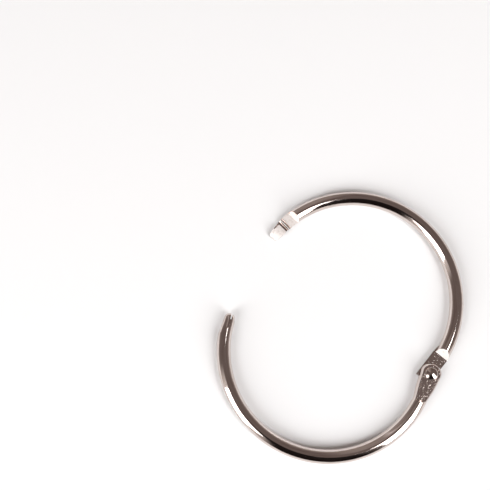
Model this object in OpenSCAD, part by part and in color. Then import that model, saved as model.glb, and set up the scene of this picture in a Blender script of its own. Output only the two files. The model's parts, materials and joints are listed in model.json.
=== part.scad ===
// Binder ring: two half rings of round steel wire, turning on one flat riveted hinge and
// held shut by a toothed half lap that snaps together on the far side.
//
// The ring lies flat: +Z is up, the surface it lies on is Z = 0 and the hinge is on the +X
// side. The origin is the middle of the open ring's box, to about 0.1 mm. The latch half
// curves round the +Y side and the nose half round the -Y side. The nose half carries the
// upper leaf and the upper lap.

/* [Ring] */
// Clear diameter inside the closed ring
ring_bore = 50.8; // [35:0.1:80]
// Diameter of the wire
wire_d = 3.7; // [3.1:0.1:4.6]
// How far the ring stands open, 0 when it is shut
open_angle = 32.5; // [0:0.1:60]

/* [Hinge] */
// Distance of the rivet outside the centre line of the wire
rivet_out = 0.6; // [0:0.05:0.8]
// Thickness of each flattened leaf at the rivet
leaf_t = 1.25; // [1:0.05:1.5]
// Gap between the two leaves, over both of them
leaf_gap = 0.04; // [0.02:0.01:0.1]
// Width of the rounded leaf of the nose half
nose_leaf_w = 5.6; // [4.8:0.1:6.6]
// Width of the square-ended leaf of the latch half
latch_leaf_w = 4.3; // [4.1:0.1:5.2]
// Length of the square-ended leaf past the rivet
latch_leaf_end = 2.5; // [2:0.1:3]
// Distance from the rivet to the shoulder of each leaf
shoulder_reach = 5.3; // [4.6:0.1:6.5]
// Slope of the leaf shoulders
shoulder_slope = 47; // [40:1:70]
// Length of wire that the coining dies flatten, from the rivet
coined_l = 7.4; // [7:0.1:9]

/* [Rivet] */
// Diameter of the shank
shank_d = 1.9; // [1.5:0.1:2.3]
// Gap all round the shank in the leaf that turns on it
shank_play = 0.04; // [0.02:0.01:0.1]
// Diameter of the domed head
head_d = 3.5; // [3:0.1:3.6]
// Height of the domed head
head_h = 0.72; // [0.4:0.02:0.8]
// Diameter of the peened tail
tail_d = 2.8; // [2.5:0.1:3.2]
// Height of the peened tail
tail_h = 0.48; // [0.3:0.02:0.52]
// Diameter of the shallow seat pressed round the head
seat_d = 3.9; // [3.7:0.1:4.2]
// Depth of the shallow seat
seat_depth = 0.07; // [0.03:0.01:0.15]
// Gap between the head and its seat
head_play = 0.02; // [0.01:0.01:0.05]
// Gap round the shank in the leaf that it is peened to
shank_grip = 0.01; // [0.01:0.01:0.02]

/* [Latch] */
// Angle round the latch half from the rivet to the latch shoulder
latch_at = 171.25; // [165:0.25:175]
// Length of the lap
lap_l = 7.8; // [6.6:0.1:9.5]
// Gap between the two lap faces, over both of them
lap_gap = 0.06; // [0.03:0.01:0.15]
// Gap left at each end of the lap when the ring is shut
end_play = 0.08; // [0.04:0.01:0.2]
// Slope of the lap shoulders
lap_slope = 62; // [50:1:75]
// Width of the tongue at its tip
tongue_tip_w = 2.5; // [2:0.1:3]
// Radius of the rounded nose
nose_tip_r = 1.42; // [1.2:0.02:1.5]

/* [Latch teeth] */
// Flat land between the latch shoulder and the first notch
land_l = 2.3; // [1.8:0.1:2.6]
// Width of the first notch
notch_w = 0.5; // [0.3:0.05:0.7]
// Depth of the first notch
notch_depth = 0.45; // [0.3:0.05:0.7]
// Width of the ridge between the notches
ridge_w = 0.3; // [0.2:0.05:0.5]
// Width of the second, deeper notch, which the hook of the other half drops into
catch_w = 0.9; // [0.7:0.05:1.1]
// Depth of the second notch
catch_depth = 0.85; // [0.6:0.05:1.1]
// Length of the hook block beyond the second notch
hook_l = 1.85; // [1.4:0.05:2.1]
// Drop of the lead-in ramp at the tip
ramp_drop = 0.75; // [0.4:0.05:1]
// Width of the bevel along the outer edge of the hook block
bevel_w = 0.55; // [0.3:0.05:0.8]
// Drop of that bevel at the edge
bevel_drop = 0.3; // [0.1:0.05:0.5]

/* [Nose slot] */
// Length of the narrow slot that runs back from the tip of the nose
slot_l = 1.6; // [1:0.1:2]
// Width of the slot
slot_w = 0.3; // [0.2:0.05:0.4]
// Distance of the slot from the middle of the nose, towards the inside of the ring
slot_off = 0.45; // [0.3:0.05:0.7]

/* [Hidden] */
$fn = 96;

wire_r = wire_d / 2;
ring_r = (ring_bore + wire_d) / 2;
rivet_r = ring_r + rivet_out;
leaf_top = leaf_gap / 2 + leaf_t;
// Higher and wider than the wire, for every cutting block
clear = wire_d + 1;
// Steps up each half of a rounded side of a leaf
side_steps = 4;
// How far the middle of the rounded leaf stands outside the straight line to the rivet
leaf_belly = 0.15;
// How far the square-ended leaf stands out of the wire on the outside of the ring
leaf_rim = 0.08;
// Length over which the square-ended leaf narrows into the wire
flare_l = 2.6;
// Distance from the shoulder of a lap to where its sides start to narrow
lap_root = 0.4;
// Distance from the latch shoulder to the hook block
hook_at = land_l + notch_w + ridge_w + catch_w;
// How far each leaf and its wire run into each other, in degrees along the wire
latch_blend = 0.6;
nose_blend = 2;
// How far the middle pad of the rounded leaf lies short of the shoulder, and how much slimmer it is
neck_back = 1.6;
neck_slim = 0.35;
// How far the last pad of the rounded leaf lies past the coined length
neck_past = 0.6;
// How far the ends of both leaves lie inside the surface of the wire
sunk = 0.12;
// Thickness of the slices that the square-ended leaf is blended between
slice = 0.1;
// Skirts under the rivet's domed head and peened tail, and how steeply they lean in
head_skirt = 0.34;
tail_skirt = 0.16;
skirt_slope = 53;
// Lean of the flanks of the two notches, along the tongue
notch_lean = 0.1;
catch_lean = 0.2;
// Corner cut off each side of the tongue's tip, and the flare of the tongue's root
tip_corner = 0.4;
root_flare = 0.2;
// Lead-in under the tip of the nose, and the room along the lap between facing teeth
lead_in = 0.6;
tooth_room = 0.06;
// How much wider than the wire the nose's cone would be at the shoulder
cone_root = 0.4;

// Angles along the wire, counted from the rivet round each half
function chord_angle(l) = 2 * asin(l / 2 / ring_r);
shoulder_at = chord_angle(shoulder_reach);
tongue_end = latch_at + chord_angle(lap_l);
play_angle = chord_angle(end_play);
nose_root = 360 - tongue_end - play_angle;
nose_end = 360 - latch_at - play_angle;

// The open ring: each half is turned about the rivet by half of the opening
half_open = open_angle / 2;
rivet_x = rivet_r * cos(half_open);
box_right = rivet_x + nose_leaf_w / 2;
box_left = -ring_r * cos(180 - nose_end + chord_angle(nose_tip_r) + half_open) - nose_tip_r;
middle_x = (box_right + box_left) / 2;

steel = [0.72, 0.69, 0.68];
rivet_steel = [0.78, 0.76, 0.74];

// A stretch of the round wire between two angles
module wire(from, to)
    rotate([0, 0, from])
        rotate_extrude(angle = to - from)
            translate([ring_r, 0])
                circle(r = wire_r);

// Frame on the chord between two angles: +Y runs along it from its start, +X points outwards
module on_chord(from, to)
    rotate([0, 0, (from + to) / 2])
        translate([ring_r * cos((to - from) / 2), -ring_r * sin((to - from) / 2), 0])
            children();

// Solid with a side outline of [distance along, height] points, clear of the wire on each side
module across(outline)
    rotate([90, 0, 90])
        linear_extrude(height = 2 * clear, center = true)
            polygon(outline);

// Half width of a coined stretch at a height above or below the middle plane: its sides
// keep the roundness of the wire
function side_at(half_w, z) = half_w - wire_r + sqrt(wire_r * wire_r - z * z);

// What is cut away under a leaf that lies above the middle plane, and pressed flat over it
module hinge_cuts() {
    shoulder_run = clear / tan(shoulder_slope);
    die_run = clear - leaf_top;
    back = -shoulder_reach - clear;
    on_chord(0, shoulder_at) {
        across([
            [back, leaf_gap / 2],
            [shoulder_reach, leaf_gap / 2],
            [shoulder_reach + shoulder_run, leaf_gap / 2 - clear],
            [back, leaf_gap / 2 - clear]
        ]);
        across([
            [back, leaf_top],
            [coined_l, leaf_top],
            [coined_l + die_run, clear],
            [back, clear]
        ]);
    }
}

// Round pad on the middle plane
module pad(r)
    rotate_extrude($fn = 48)
        polygon([
            for (step = [0:side_steps])
                let (z = leaf_top * step / side_steps) [side_at(r, z), z],
            [0, leaf_top],
            [0, 0]
        ]);

// Rounded leaf of the nose half: the wire spreads into a flat disc round the rivet
module nose_leaf()
    hull() {
        translate([rivet_r, 0, 0])
            pad(nose_leaf_w / 2);
        on_chord(0, shoulder_at)
            translate([leaf_belly, shoulder_reach - neck_back, 0])
                pad(nose_leaf_w / 2 - neck_slim);
        rotate([0, 0, chord_angle(coined_l + neck_past)])
            translate([ring_r, 0, 0])
                pad(wire_r - sunk);
    }

// Section of the square-ended leaf, which hangs under the middle plane
function leaf_section(inner_w, outer_w) = concat(
    [for (step = [0:side_steps])
        let (z = -leaf_top * step / side_steps) [side_at(outer_w, z), z]],
    [for (step = [side_steps:-1:0])
        let (z = -leaf_top * step / side_steps) [-side_at(inner_w, z), z]]
);

// Straight length of a section, from one place along the chord to the next
module rolled(section, from, to)
    translate([0, to, 0])
        rotate([90, 0, 0])
            linear_extrude(height = to - from)
                polygon(section);

// Square-ended leaf of the latch half, widened towards the inside of the ring
module latch_leaf() {
    outer_w = wire_r + leaf_rim;
    inner_w = latch_leaf_w - outer_w;
    flare_end = shoulder_reach + flare_l;
    on_chord(0, shoulder_at) {
        rolled(leaf_section(inner_w, outer_w), -latch_leaf_end, shoulder_reach);
        hull() {
            rolled(leaf_section(inner_w, outer_w), shoulder_reach - slice, shoulder_reach);
            translate([-flare_end * flare_l / 2 / ring_r, 0, 0])
                rolled(leaf_section(wire_r - sunk, wire_r - sunk), flare_end, flare_end + 2 * slice);
        }
    }
}

// Side outline of the toothed face of the tongue and of all that is cut away above it
function tongue_cut() =
    let (
        face = -lap_gap / 2,
        notch_end = land_l + notch_w,
        catch_at = notch_end + ridge_w,
        ramp_at = hook_at + hook_l
    )
    [
        [-clear / tan(lap_slope), face + clear],
        [0, face],
        [land_l, face],
        [land_l + notch_lean, face - notch_depth],
        [notch_end - notch_lean, face - notch_depth],
        [notch_end, face],
        [catch_at, face],
        [catch_at + catch_lean, face - catch_depth],
        [hook_at, face - catch_depth],
        [hook_at, face],
        [ramp_at, face],
        [lap_l, face - ramp_drop],
        [lap_l + clear, face - ramp_drop],
        [lap_l + clear, face + clear]
    ];

// Outline of the tongue from above, from the shoulder to its tip
function tongue_plan() =
    let (
        tip = tongue_tip_w / 2,
        bulge = ring_r * (1 - cos(chord_angle(lap_l) / 2))
    )
    [
        [wire_r + root_flare, 0],
        [wire_r + bulge / 4, hook_at],
        [tip, lap_l - tip_corner],
        [tip - tip_corner, lap_l],
        [tip_corner - tip, lap_l],
        [-tip, lap_l - tip_corner],
        [bulge / 2 - wire_r, hook_at],
        [-wire_r - root_flare, 0]
    ];

// Side outline of the toothed face under the nose and of all that is cut away below it,
// with each recess over the tooth of the tongue that it drops on
function nose_cut() =
    let (
        face = lap_gap / 2,
        ridge_at = land_l + notch_w,
        recess = hook_at + hook_l
    )
    [
        [-clear / tan(lap_slope), face - clear],
        [0, face],
        [lap_l - recess - tooth_room, face + catch_depth / 2],
        [lap_l - hook_at + tooth_room, face + catch_depth / 2],
        [lap_l - hook_at + tooth_room, face],
        [lap_l - ridge_at - ridge_w - tooth_room, face],
        [lap_l - ridge_at - ridge_w, face + notch_depth],
        [lap_l - ridge_at, face + notch_depth],
        [lap_l - ridge_at + tooth_room, face],
        [lap_l - lead_in, face],
        [lap_l, face + lead_in / 2],
        [lap_l + clear, face + lead_in / 2],
        [lap_l + clear, face - clear]
    ];

// What is cut off the outer edge of the hook block, along the tongue
module hook_bevel() {
    face = -lap_gap / 2;
    rise = bevel_drop / bevel_w;
    translate([0, hook_at + hook_l, 0])
        rotate([90, 0, 0])
            linear_extrude(height = hook_l)
                polygon([
                    [wire_r - bevel_w, face],
                    [wire_r + clear, face - bevel_drop - clear * rise],
                    [wire_r + clear, face + clear],
                    [wire_r - bevel_w, face + clear]
                ]);
}

// Narrow slot right through the nose, open at its tip
module nose_slot()
    translate([-slot_off - slot_w / 2, lap_l - slot_l, -clear])
        cube([slot_w, slot_l + clear, 2 * clear]);

// Block round a lap, which the outline of the tongue or the nose is taken out of
module lap_block()
    translate([-clear, lap_root, -clear])
        cube([2 * clear, lap_l + clear, 2 * clear]);

// Rounded, slightly tapering body of the nose along the chord of its lap: a cone that runs
// smoothly into a ball, and starts at the shoulder whatever the wire's diameter
module bullet() {
    root_r = wire_r + cone_root;
    axis_l = lap_l - nose_tip_r;
    flank = asin((root_r - nose_tip_r) / axis_l);
    rotate([-90, 0, 0]) {
        cylinder(
            r1 = root_r / cos(flank),
            r2 = nose_tip_r * cos(flank),
            h = axis_l + nose_tip_r * sin(flank)
        );
        translate([0, 0, axis_l])
            sphere(r = nose_tip_r);
    }
}

// Spherical cap on a short skirt that leans in, standing on Z = 0
module dome(d, h, skirt) {
    cap = h - skirt;
    cap_r = d / 2 - skirt / tan(skirt_slope);
    ball_r = (cap_r * cap_r + cap * cap) / (2 * cap);
    rotate_extrude() {
        polygon([[0, 0], [d / 2, 0], [cap_r, skirt], [0, skirt]]);
        intersection() {
            translate([0, h - ball_r])
                circle(r = ball_r);
            translate([0, skirt])
                square([d, cap]);
        }
    }
}

// Puts a half ring, modelled round its own centre, on the rivet of the ring that lies open
module on_rivet(turn)
    translate([rivet_x - middle_x, 0, wire_r])
        rotate([0, 0, turn])
            translate([-rivet_r, 0, 0])
                children();

// Half ring with the square-ended leaf below and the toothed tongue
module latch_half() {
    color(steel)
        on_rivet(-half_open)
            difference() {
                union() {
                    wire(shoulder_at - latch_blend, tongue_end);
                    latch_leaf();
                }
                mirror([0, 0, 1])
                    hinge_cuts();
                on_chord(latch_at, tongue_end) {
                    across(tongue_cut());
                    hook_bevel();
                    difference() {
                        lap_block();
                        translate([0, 0, -2 * clear])
                            linear_extrude(height = 4 * clear)
                                polygon(tongue_plan());
                    }
                }
                translate([rivet_r, 0, -clear])
                    cylinder(d = shank_d + 2 * shank_grip, h = 2 * clear);
            }
}

// Half ring with the rounded leaf above and the bullet nose
module nose_half() {
    color(steel)
        on_rivet(half_open)
            mirror([0, 1, 0])
                difference() {
                    union() {
                        wire(shoulder_at - nose_blend, nose_end);
                        nose_leaf();
                    }
                    hinge_cuts();
                    on_chord(nose_root, nose_end) {
                        across(nose_cut());
                        nose_slot();
                        difference() {
                            lap_block();
                            bullet();
                        }
                    }
                    translate([rivet_r, 0, -clear])
                        cylinder(d = shank_d + 2 * shank_play, h = 2 * clear);
                    translate([rivet_r, 0, leaf_top - seat_depth])
                        cylinder(d = seat_d, h = clear);
                }
}

// Rivet with its domed head above and its peened tail below
module hinge_rivet() {
    seat_z = leaf_top - seat_depth + head_play;
    color(rivet_steel)
        on_rivet(0)
            translate([rivet_r, 0, 0]) {
                translate([0, 0, -leaf_top])
                    cylinder(d = shank_d, h = seat_z + leaf_top);
                translate([0, 0, seat_z])
                    dome(head_d, head_h, head_skirt);
                translate([0, 0, -leaf_top])
                    mirror([0, 0, 1])
                        dome(tail_d, tail_h, tail_skirt);
            }
}

latch_half();
nose_half();
hinge_rivet();
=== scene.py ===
"""Looks of a loose-leaf binder ring: half rings of nickel-plated wire on a riveted hinge.

Lengths are metres in the row frame: +Z up, the ring lies on Z = 0, the hinge on the +X side.
Names in _mm are millimetres, with places in that frame, and names in _deg are degrees.
"""

import json
import logging
import math
from dataclasses import dataclass
from enum import Enum

import bpy
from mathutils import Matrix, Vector

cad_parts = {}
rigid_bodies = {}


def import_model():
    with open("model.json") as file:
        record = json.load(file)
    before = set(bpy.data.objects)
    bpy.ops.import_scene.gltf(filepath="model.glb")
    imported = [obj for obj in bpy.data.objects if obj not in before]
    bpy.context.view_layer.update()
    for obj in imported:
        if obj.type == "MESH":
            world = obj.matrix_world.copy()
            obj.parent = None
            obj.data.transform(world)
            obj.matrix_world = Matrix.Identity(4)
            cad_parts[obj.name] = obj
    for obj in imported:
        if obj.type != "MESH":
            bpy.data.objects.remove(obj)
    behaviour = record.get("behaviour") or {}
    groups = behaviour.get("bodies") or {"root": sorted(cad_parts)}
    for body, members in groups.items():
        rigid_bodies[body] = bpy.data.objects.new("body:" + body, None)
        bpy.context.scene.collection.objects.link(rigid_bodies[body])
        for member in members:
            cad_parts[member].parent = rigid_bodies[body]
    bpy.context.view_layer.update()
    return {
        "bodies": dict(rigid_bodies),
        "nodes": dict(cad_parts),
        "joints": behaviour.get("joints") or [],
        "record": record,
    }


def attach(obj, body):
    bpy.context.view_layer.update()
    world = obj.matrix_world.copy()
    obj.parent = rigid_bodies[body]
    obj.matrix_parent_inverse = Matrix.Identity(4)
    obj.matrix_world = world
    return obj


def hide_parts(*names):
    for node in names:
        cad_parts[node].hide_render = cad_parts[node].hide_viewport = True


LOG = logging.getLogger("binder_ring")
MM = 0.001

# Middle of each half ring's curve, at +y for the latch half and at -y for the nose half
CURVE_X_MM = -0.669
CURVE_Y_MM = 7.793
# Length that stands for a radian of the curve in patterns along the wire: a tenth of the real
RUN_MM = 2.7

# Middles of the hinge, of the tongue and of the ramp at its tip, and how far finishes reach
HINGE_MM = (26.07, 0.0, 1.85)
LEAF_REACH_MM = 9.0
TONGUE_MM = (-26.2, 16.4, 1.5)
LAND_REACH_MM = 5.0
NOTCH_REACH_MM = 6.0
RAMP_MM = (-27.52, 12.7, 1.4)
RAMP_REACH_MM = 1.5
# The land and the hook top of the tongue lie higher than this, its notches lower
NOTCH_TOP_MM = 1.6

# Sockets of a Mix node that mixes colours; its other sockets have the same names
MIX_SHARE, MIX_FIRST, MIX_SECOND, MIX_RESULT = 0, 6, 7, 2


class Side(Enum):
    """Which rigid body a piece belongs to."""

    LATCH = "latch_side"
    NOSE = "nose_side"


class Faces(Enum):
    """Which faces of a zone take its finish, as least and most upward part of their normals."""

    LEVEL = (0.97, 1.1)
    GENTLE = (0.9, 1.1)
    SLOPING = (0.3, 0.97)
    ALL = (-1.1, 1.1)


def srgb(code: str) -> tuple[float, float, float, float]:
    """Turns a hex sRGB colour into the linear colour that a shader socket takes.

    Args:
        code: six hex digits with a leading #.

    Returns:
        Linear red, green, blue and an alpha of 1.
    """
    parts = [int(code[i:i + 2], 16) / 255 for i in (1, 3, 5)]
    linear = [c / 12.92 if c <= 0.04045 else ((c + 0.055) / 1.055) ** 2.4 for c in parts]
    return (linear[0], linear[1], linear[2], 1.0)


def add_node(
    tree: bpy.types.NodeTree,
    kind: str,
    inputs: dict[str | int, object] | None = None,
    **settings: object,
) -> bpy.types.Node:
    """Adds a node with its settings, and sets or links its inputs.

    Args:
        tree: node tree to add to.
        kind: type name of the node.
        inputs: values by socket name or number; an output socket there is linked instead.
        settings: attributes of the node itself.

    Returns:
        The new node.
    """
    node = tree.nodes.new(kind)
    for name, value in settings.items():
        setattr(node, name, value)
    for key, value in (inputs or {}).items():
        if isinstance(value, bpy.types.NodeSocket):
            tree.links.new(value, node.inputs[key])
        else:
            node.inputs[key].default_value = value
    return node


def along_wire(tree: bpy.types.NodeTree, place: bpy.types.NodeSocket) -> bpy.types.NodeSocket:
    """Bends a place in a half ring straight, so that what it drives runs along the wire.

    Args:
        tree: node tree to add to.
        place: socket that gives the place in the row frame.

    Returns:
        The socket that gives distance from the curve's middle, height and a tenth of the
        length along the curve.
    """
    parts = add_node(tree, "ShaderNodeSeparateXYZ", {"Vector": place}).outputs
    x = add_node(tree, "ShaderNodeMath", {
        0: parts["X"], 1: CURVE_X_MM * MM}, operation="SUBTRACT").outputs[0]
    side = add_node(tree, "ShaderNodeMath", {0: parts["Y"]}, operation="ABSOLUTE").outputs[0]
    y = add_node(tree, "ShaderNodeMath", {
        0: side, 1: CURVE_Y_MM * MM}, operation="SUBTRACT").outputs[0]
    flat = add_node(tree, "ShaderNodeCombineXYZ", {"X": x, "Y": y}).outputs[0]
    radius = add_node(tree, "ShaderNodeVectorMath", {0: flat}, operation="LENGTH")
    turn = add_node(tree, "ShaderNodeMath", {0: y, 1: x}, operation="ARCTAN2").outputs[0]
    length = add_node(tree, "ShaderNodeMath", {0: turn, 1: RUN_MM * MM}, operation="MULTIPLY")
    return add_node(tree, "ShaderNodeCombineXYZ", {
        "X": radius.outputs["Value"], "Y": parts["Z"], "Z": length.outputs[0]}).outputs[0]


def direction(azimuth_deg: float, elevation_deg: float) -> Vector:
    """Gives the unit vector towards a direction.

    Args:
        azimuth_deg: counter-clockwise from +X.
        elevation_deg: up from level.

    Returns:
        The vector in the row frame.
    """
    a, e = math.radians(azimuth_deg), math.radians(elevation_deg)
    return Vector((math.cos(a) * math.cos(e), math.sin(a) * math.cos(e), math.sin(e)))


def deselect_all() -> None:
    """Leaves object mode with nothing selected."""
    if bpy.context.object is not None and bpy.context.object.mode != "OBJECT":
        bpy.ops.object.mode_set(mode="OBJECT")
    bpy.ops.object.select_all(action="DESELECT")


def make_active(piece: bpy.types.Object) -> None:
    """Selects one object alone and makes it the active one.

    Args:
        piece: the object.
    """
    deselect_all()
    piece.select_set(True)
    bpy.context.view_layer.objects.active = piece


@dataclass(frozen=True)
class Nickel:
    """Nickel plate over steel: a warm mirror, sharper or duller after the face below it."""

    name: str
    colour: str = "#D6CBC6"
    # Duller places, where fingers and pages have rubbed, in patches about this far apart
    worn_colour: str = "#C2B4AE"
    patch_mm: float = 3.0
    roughness: float = 0.07
    worn_roughness: float = 0.16
    # Spacing and height of the waves or dents that the plate lies over
    dent_mm: float = 1.1
    dent_height_mm: float = 0.0025
    # True for patches and waves that run along the wire, ten times as long as they are wide
    drawn: bool = False
    # How broken the outlines of patches and dents are
    patch_detail: float = 4.0
    patch_raggedness: float = 0.6
    dent_detail: float = 2.0
    # The noise turns from bright to worn between these
    bright_below: float = 0.48
    worn_above: float = 0.72

    def build(self) -> bpy.types.Material:
        """Makes the material.

        Returns:
            The node-based material.
        """
        material = bpy.data.materials.new(self.name)
        material.use_nodes = True
        tree = material.node_tree
        tree.nodes.clear()
        place = add_node(tree, "ShaderNodeTexCoord").outputs["Object"]
        run = along_wire(tree, place) if self.drawn else place
        patches = add_node(tree, "ShaderNodeTexNoise", {
            "Vector": run, "Scale": 1 / (self.patch_mm * MM),
            "Detail": self.patch_detail, "Roughness": self.patch_raggedness})
        worn = add_node(tree, "ShaderNodeMapRange", {
            "Value": patches.outputs["Fac"],
            "From Min": self.bright_below, "From Max": self.worn_above}).outputs["Result"]
        tint = add_node(tree, "ShaderNodeMix", {
            MIX_SHARE: worn, MIX_FIRST: srgb(self.colour),
            MIX_SECOND: srgb(self.worn_colour)}, data_type="RGBA").outputs[MIX_RESULT]
        rough = add_node(tree, "ShaderNodeMapRange", {
            "Value": worn, "To Min": self.roughness, "To Max": self.worn_roughness})
        dents = add_node(tree, "ShaderNodeTexNoise", {
            "Vector": run, "Scale": 1 / (self.dent_mm * MM), "Detail": self.dent_detail})
        bump = add_node(tree, "ShaderNodeBump", {
            "Height": dents.outputs["Fac"], "Strength": 1.0,
            "Distance": self.dent_height_mm * MM})
        surface = add_node(tree, "ShaderNodeBsdfPrincipled", {
            "Base Color": tint, "Metallic": 1.0,
            "Roughness": rough.outputs["Result"], "Normal": bump.outputs["Normal"]})
        add_node(tree, "ShaderNodeOutputMaterial", {"Surface": surface.outputs["BSDF"]})
        return material


# Bright plate on drawn wire, which keeps faint lines along it from the die. Real lines are
# finer: these are as coarse as they need to be to show.
DRAWN = Nickel(
    "bright_nickel_on_drawn_wire", patch_mm=0.8, dent_mm=0.4, dent_height_mm=0.006, drawn=True,
)
# Bright plate on the rivet's smooth head
HEADED = Nickel("bright_nickel_on_headed_rivet", dent_height_mm=0.001)
# Bright plate in the notches and on the walls that a sharp tool has cut smooth
CUT = Nickel("bright_nickel_on_cut_steel", dent_height_mm=0.0005)
# Bright plate on the leaves, which coining leaves finely dented
COINED = Nickel(
    "bright_nickel_on_coined_steel", roughness=0.06, worn_roughness=0.2,
    patch_mm=0.5, dent_mm=0.5, dent_height_mm=0.032,
)
# Plate over milled faces, which stay matt under it. Real cutter marks are finer: these are as
# coarse as they need to be to show.
MILLED = Nickel(
    "matt_nickel_on_milled_steel", colour="#F5F0ED", worn_colour="#DED6D1",
    patch_mm=0.9, roughness=0.62, worn_roughness=0.72, dent_mm=0.5, dent_height_mm=0.006,
)


@dataclass(frozen=True)
class Zone:
    """A ball-shaped stretch of a half ring whose worked faces have a finish of their own."""

    centre_mm: tuple[float, float, float]
    reach_mm: float
    faces: Faces
    finish: Nickel
    # Faces that lie lower are left to the zones after this one
    lowest_mm: float = 0.0
    # Faces this much deeper than the round surface of the wire were cut or coined
    worked_depth_mm: float = 0.05

    def takes(self, face: bpy.types.MeshPolygon, depth: float) -> bool:
        """Tells whether a face takes this zone's finish.

        Args:
            face: face of the piece.
            depth: how deep its middle lies below the wire's surface, in metres.

        Returns:
            True where it does.
        """
        away = (face.center - Vector(self.centre_mm) * MM).length
        if depth < self.worked_depth_mm * MM or away > self.reach_mm * MM:
            return False
        least, most = self.faces.value
        return least < face.normal.z < most and face.center.z > self.lowest_mm * MM


@dataclass
class PlatedPiece:
    """One plated steel piece of the ring, taken over from its solid with softened edges."""

    node: str
    side: Side
    slot: str
    finish: Nickel
    # Points of the solid's mesh this near are one, and facets this level are one flat
    merge_mm: float = 0.002
    flat_deg: float = 0.2
    # Width that tumbling and plating leave on every sheared or coined edge, and its facets
    edge_mm: float = 0.06
    edge_facets: int = 2
    # Edges that turn by more than this are sharp
    crease_deg: float = 32.0
    # How much a corner's shading follows its bigger faces: 50 is not at all, 100 the most
    big_face_weight: int = 100

    def build(self, frame: dict, shelf: dict[Nickel, bpy.types.Material]) -> bpy.types.Object:
        """Makes the piece.

        Args:
            shelf: materials by finish.

        Returns:
            The finished piece, which replaces its node.
        """
        piece = bpy.data.objects.new(self.node + "_plated", frame["nodes"][self.node].data.copy())
        bpy.context.scene.collection.objects.link(piece)
        make_active(piece)
        self.soften_edges(piece)
        self.true_shading(piece.data)
        self.coat(piece.data, shelf)
        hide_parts(self.node)
        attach(piece, self.side.value)
        LOG.info("%s: %d faces", piece.name, len(piece.data.polygons))
        return piece

    def soften_edges(self, piece: bpy.types.Object) -> None:
        """Merges the solid's mesh, rounds its sharp edges and keeps its flats level.

        Args:
            piece: the active object.
        """
        bpy.ops.object.mode_set(mode="EDIT")
        bpy.ops.mesh.select_all(action="SELECT")
        bpy.ops.mesh.remove_doubles(threshold=self.merge_mm * MM)
        bpy.ops.mesh.customdata_custom_splitnormals_clear()
        bpy.ops.mesh.dissolve_limited(angle_limit=math.radians(self.flat_deg))
        bpy.ops.object.mode_set(mode="OBJECT")
        bevel = piece.modifiers.new("soft_edges", "BEVEL")
        bevel.width = self.edge_mm * MM
        bevel.segments = self.edge_facets
        bevel.limit_method = "ANGLE"
        bevel.angle_limit = math.radians(self.crease_deg)
        bpy.ops.object.modifier_apply(modifier=bevel.name)
        bpy.ops.object.shade_smooth_by_angle(angle=math.radians(self.crease_deg))
        level = piece.modifiers.new("level_flats", "WEIGHTED_NORMAL")
        level.weight = self.big_face_weight
        level.keep_sharp = True
        bpy.ops.object.modifier_apply(modifier=level.name)

    def true_shading(self, mesh: bpy.types.Mesh) -> None:
        """Leaves the shading as it is; a piece of wire corrects its own.

        Args:
            mesh: mesh of the piece.
        """

    def finishes(self) -> list[Nickel]:
        """Lists the piece's finishes, its main one first."""
        return [self.finish]

    def finish_number(self, face: bpy.types.MeshPolygon) -> int:
        """Tells which of the piece's finishes a face takes.

        Args:
            face: face of the piece.

        Returns:
            The place of the finish in the list, counted from 0.
        """
        return 0

    def coat(self, mesh: bpy.types.Mesh, shelf: dict[Nickel, bpy.types.Material]) -> None:
        """Gives each face of the piece its plate.

        Args:
            mesh: mesh of the piece.
            shelf: materials by finish.
        """
        mesh.materials.clear()
        for finish in self.finishes():
            if finish not in shelf:
                shelf[finish] = finish.build()
            mesh.materials.append(shelf[finish])
        for face in mesh.polygons:
            face.material_index = self.finish_number(face)


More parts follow.
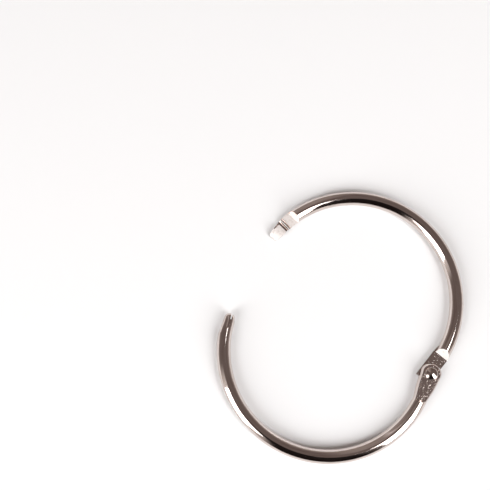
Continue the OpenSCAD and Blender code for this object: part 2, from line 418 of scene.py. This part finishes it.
@dataclass
class HalfRing(PlatedPiece):
    """Half ring of round wire, with a coined leaf at the hinge and a cut lap at the mouth."""

    # The wire, and the curve that its middle line follows
    wire_r_mm: float = 1.85
    curve_r_mm: float = 27.25
    curve_x_mm: float = CURVE_X_MM
    curve_y_mm: float = CURVE_Y_MM
    # Faces of the wire's own surface lie no deeper and lean no further from it than this
    round_depth_mm: float = 0.03
    round_lean_deg: float = 12.0
    # Stretches with a finish of their own; the first that takes a face has it
    zones: tuple[Zone, ...] = ()

    def out_of_wire(self, point: Vector) -> Vector:
        """Gives the vector to a point from the nearest point of the wire's middle line.

        Args:
            point: any point near the wire.

        Returns:
            The vector in the row frame.
        """
        middle = Vector((self.curve_x_mm, self.curve_y_mm, self.wire_r_mm)) * MM
        away = Vector((point.x - middle.x, point.y - middle.y, 0.0))
        return point - middle - away.normalized() * self.curve_r_mm * MM

    def depth(self, point: Vector) -> float:
        """Gives how deep a point lies below the round surface of the wire.

        Args:
            point: any point near the wire.

        Returns:
            The depth in metres.
        """
        return self.wire_r_mm * MM - self.out_of_wire(point).length

    def is_round(self, face: bpy.types.MeshPolygon) -> bool:
        """Tells whether a face is a facet of the wire's own round surface.

        Args:
            face: face of the piece.

        Returns:
            True where it is.
        """
        lean = face.normal.angle(self.out_of_wire(face.center))
        near = abs(self.depth(face.center)) < self.round_depth_mm * MM
        return near and lean < math.radians(self.round_lean_deg)

    def true_shading(self, mesh: bpy.types.Mesh) -> None:
        """Shades the wire's own surface as truly round, also in the small facets by a cut.

        Args:
            mesh: mesh of the piece.
        """
        normals = [Vector(corner.vector) for corner in mesh.corner_normals]
        on_wire = set()
        for face in mesh.polygons:
            if self.is_round(face):
                on_wire.update(face.vertices)
        for corner, loop in enumerate(mesh.loops):
            if loop.vertex_index in on_wire:
                outward = self.out_of_wire(mesh.vertices[loop.vertex_index].co).normalized()
                if normals[corner].angle(outward) < math.radians(self.crease_deg):
                    normals[corner] = outward
        mesh.normals_split_custom_set(normals)

    def finishes(self) -> list[Nickel]:
        """Lists the piece's finishes, its main one first."""
        return [self.finish, *(zone.finish for zone in self.zones)]

    def finish_number(self, face: bpy.types.MeshPolygon) -> int:
        """Tells which of the piece's finishes a face takes.

        Args:
            face: face of the piece.

        Returns:
            The place of the finish in the list, counted from 0.
        """
        depth = self.depth(face.center)
        for number, zone in enumerate(self.zones, start=1):
            if zone.takes(face, depth):
                return number
        return 0


@dataclass(frozen=True)
class SoftBox:
    """A rectangular soft light that faces the ring."""

    name: str
    azimuth_deg: float
    elevation_deg: float
    width: float
    height: float
    watts: float
    # Lean of the box about the line to the ring
    lean_deg: float = 0.0
    distance: float = 1.0
    colour: str = "#FFFFFF"

    def build(self) -> bpy.types.Object:
        """Makes the lamp.

        Returns:
            The area lamp, aimed at the origin.
        """
        data = bpy.data.lights.new(self.name, "AREA")
        data.shape = "RECTANGLE"
        data.size = self.width
        data.size_y = self.height
        data.energy = self.watts
        data.color = srgb(self.colour)[:3]
        lamp = bpy.data.objects.new(self.name, data)
        bpy.context.scene.collection.objects.link(lamp)
        way = direction(self.azimuth_deg, self.elevation_deg)
        lamp.location = way * self.distance
        lamp.rotation_euler = way.to_track_quat("Z", "Y").to_euler()
        lamp.rotation_euler.rotate_axis("Z", math.radians(self.lean_deg))
        return lamp


@dataclass(frozen=True)
class Wall:
    """A stretch of the room with a tone of its own, which fades out at its sides and top."""

    azimuth_deg: float
    # Half-widths within which the tone is full and beyond which it is gone
    full_deg: float
    gone_deg: float
    # Elevations below which the tone is full and above which it is gone
    full_below_deg: float
    gone_above_deg: float
    colour: str

    def share(
        self, tree: bpy.types.NodeTree, bearing: bpy.types.NodeSocket, height: bpy.types.NodeSocket
    ) -> bpy.types.NodeSocket:
        """Works out how much of the wall's tone shows in a direction.

        Args:
            tree: node tree to add to.
            bearing: socket that gives the level part of the direction, at unit length.
            height: socket that gives the sine of the direction's elevation.

        Returns:
            The socket that gives the share, from 0 to 1.
        """
        toward = add_node(tree, "ShaderNodeVectorMath", {
            0: bearing, 1: direction(self.azimuth_deg, 0)}, operation="DOT_PRODUCT")
        across = add_node(tree, "ShaderNodeMapRange", {
            "Value": toward.outputs["Value"],
            "From Min": math.cos(math.radians(self.gone_deg)),
            "From Max": math.cos(math.radians(self.full_deg))}, interpolation_type="SMOOTHSTEP")
        up = add_node(tree, "ShaderNodeMapRange", {
            "Value": height,
            "From Min": math.sin(math.radians(self.gone_above_deg)),
            "From Max": math.sin(math.radians(self.full_below_deg))},
            interpolation_type="SMOOTHSTEP")
        both = {0: across.outputs["Result"], 1: up.outputs["Result"]}
        return add_node(tree, "ShaderNodeMath", both, operation="MULTIPLY").outputs[0]


@dataclass
class Studio:
    """Plain pale floor, soft lights, dim room and the camera."""

    floor_colour: str = "#F2F3F4"
    floor_roughness: float = 0.9
    floor_size: float = 6.0
    # Directions in the row frame, counter-clockwise from +X
    boxes: tuple[SoftBox, ...] = (
        SoftBox("soft_box_left", 244, 28, 0.42, 1.1, 9.4, lean_deg=-8),
        SoftBox("soft_box_right", 351, 44, 0.36, 1.06, 8.9, lean_deg=-13),
        SoftBox("strip_light_back", 148, 40, 0.05, 1.1, 0.12),
    )
    # The room fades from its sides, at floor level, to its ceiling, at this elevation and above
    side: str = "#B9AFA9"
    ceiling: str = "#746864"
    ceiling_deg: float = 30.0
    # A dark side, a soft fringe round each box and a pale patch behind
    walls: tuple[Wall, ...] = (
        Wall(300, 24, 40, 80, 88, "#1C1614"),
        Wall(244, 14, 30, 56, 70, "#DCD4CF"),
        Wall(354, 10, 18, 62, 74, "#DCD4CF"),
        Wall(140, 8, 34, 74, 84, "#9C918C"),
    )
    # Pale band behind the floor's edge: full below the first elevation, gone above the second
    horizon: str = "#E4DFDC"
    horizon_deg: tuple[float, float] = (2.5, 4.5)
    # What the camera aims at, and where it stands: azimuth 0 is at -Y and 90 at +X
    aim: tuple[float, float, float] = (-33.30 * MM, 6.74 * MM, 0.0)
    azimuth_deg: float = 28.76
    elevation_deg: float = 81.23
    distance: float = 213.6 * MM
    lens_mm: float = 57.74
    sensor_mm: float = 36.0
    nearest: float = 10 * MM

    def build(self) -> None:
        """Makes floor, lights, room and camera."""
        self.lay_floor()
        for box in self.boxes:
            box.build()
        self.paint_room()
        self.place_camera()

    def lay_floor(self) -> None:
        """Lays the plain pale floor under the ring."""
        deselect_all()
        bpy.ops.mesh.primitive_plane_add(size=self.floor_size, location=(0, 0, 0))
        floor = bpy.context.object
        floor.name = "floor"
        material = bpy.data.materials.new("matt_white_card")
        material.use_nodes = True
        shader = material.node_tree.nodes["Principled BSDF"]
        shader.inputs["Base Color"].default_value = srgb(self.floor_colour)
        shader.inputs["Roughness"].default_value = self.floor_roughness
        shader.inputs["Specular IOR Level"].default_value = 0.0
        floor.data.materials.append(material)

    def paint_room(self) -> None:
        """Colours the room by direction: a dim ceiling, then the sides, walls and horizon."""
        world = bpy.data.worlds.new("dim_studio")
        bpy.context.scene.world = world
        world.use_nodes = True
        tree = world.node_tree
        tree.nodes.clear()
        way = add_node(tree, "ShaderNodeTexCoord").outputs["Generated"]
        height = add_node(tree, "ShaderNodeSeparateXYZ", {"Vector": way}).outputs["Z"]
        level = add_node(tree, "ShaderNodeVectorMath", {
            0: way, 1: (1.0, 1.0, 0.0)}, operation="MULTIPLY").outputs[0]
        bearing = add_node(
            tree, "ShaderNodeVectorMath", {0: level}, operation="NORMALIZE").outputs[0]
        low = add_node(tree, "ShaderNodeMapRange", {
            "Value": height, "From Max": math.sin(math.radians(self.ceiling_deg)),
            "To Min": 1.0, "To Max": 0.0})
        full, gone = (math.sin(math.radians(edge)) for edge in self.horizon_deg)
        band = add_node(tree, "ShaderNodeMapRange", {
            "Value": height, "From Min": gone, "From Max": full}, interpolation_type="SMOOTHSTEP")
        coats = [(low.outputs["Result"], self.side)]
        coats += [(wall.share(tree, bearing, height), wall.colour) for wall in self.walls]
        coats.append((band.outputs["Result"], self.horizon))
        room = srgb(self.ceiling)
        for share, colour in coats:
            room = add_node(tree, "ShaderNodeMix", {
                MIX_SHARE: share, MIX_FIRST: room, MIX_SECOND: srgb(colour)},
                data_type="RGBA").outputs[MIX_RESULT]
        glow = add_node(tree, "ShaderNodeBackground", {"Color": room, "Strength": 1.0})
        add_node(tree, "ShaderNodeOutputWorld", {"Surface": glow.outputs["Background"]})

    def place_camera(self) -> None:
        """Sets the camera over the ring."""
        data = bpy.data.cameras.new("camera")
        data.sensor_width = self.sensor_mm
        data.lens = self.lens_mm
        data.clip_start = self.nearest
        camera = bpy.data.objects.new("camera", data)
        bpy.context.scene.collection.objects.link(camera)
        back = direction(self.azimuth_deg - 90, self.elevation_deg)
        camera.location = Vector(self.aim) + back * self.distance
        camera.rotation_euler = (-back).to_track_quat("-Z", "Y").to_euler()
        bpy.context.scene.camera = camera


def ring_pieces() -> list[PlatedPiece]:
    """Lists the ring's three pieces with their finishes.

    Returns:
        The pieces, in the order in which they are built.
    """
    level_leaf = Zone(HINGE_MM, LEAF_REACH_MM, Faces.LEVEL, COINED)
    leaf_shoulder = Zone(HINGE_MM, LEAF_REACH_MM, Faces.SLOPING, MILLED)
    land_and_hook = Zone(TONGUE_MM, LAND_REACH_MM, Faces.LEVEL, MILLED, lowest_mm=NOTCH_TOP_MM)
    ramp = Zone(RAMP_MM, RAMP_REACH_MM, Faces.GENTLE, MILLED)
    notches = Zone(TONGUE_MM, NOTCH_REACH_MM, Faces.ALL, CUT)
    return [
        HalfRing(
            "latch_half", Side.LATCH, "bright_nickel", DRAWN,
            zones=(level_leaf, leaf_shoulder, land_and_hook, ramp, notches),
        ),
        HalfRing(
            "nose_half", Side.NOSE, "bright_nickel", DRAWN,
            curve_y_mm=-CURVE_Y_MM, zones=(level_leaf,),
        ),
        PlatedPiece("hinge_rivet", Side.LATCH, "rivet_nickel", HEADED),
    ]


def main() -> None:
    """Builds the ring's pieces and the studio in order."""
    logging.basicConfig(level=logging.INFO)
    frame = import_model()
    shelf: dict[Nickel, bpy.types.Material] = {}
    for piece in ring_pieces():
        piece.build(frame, shelf)
    Studio().build()
    bpy.context.scene.view_settings.view_transform = "Standard"


if __name__ == "__main__":
    main()
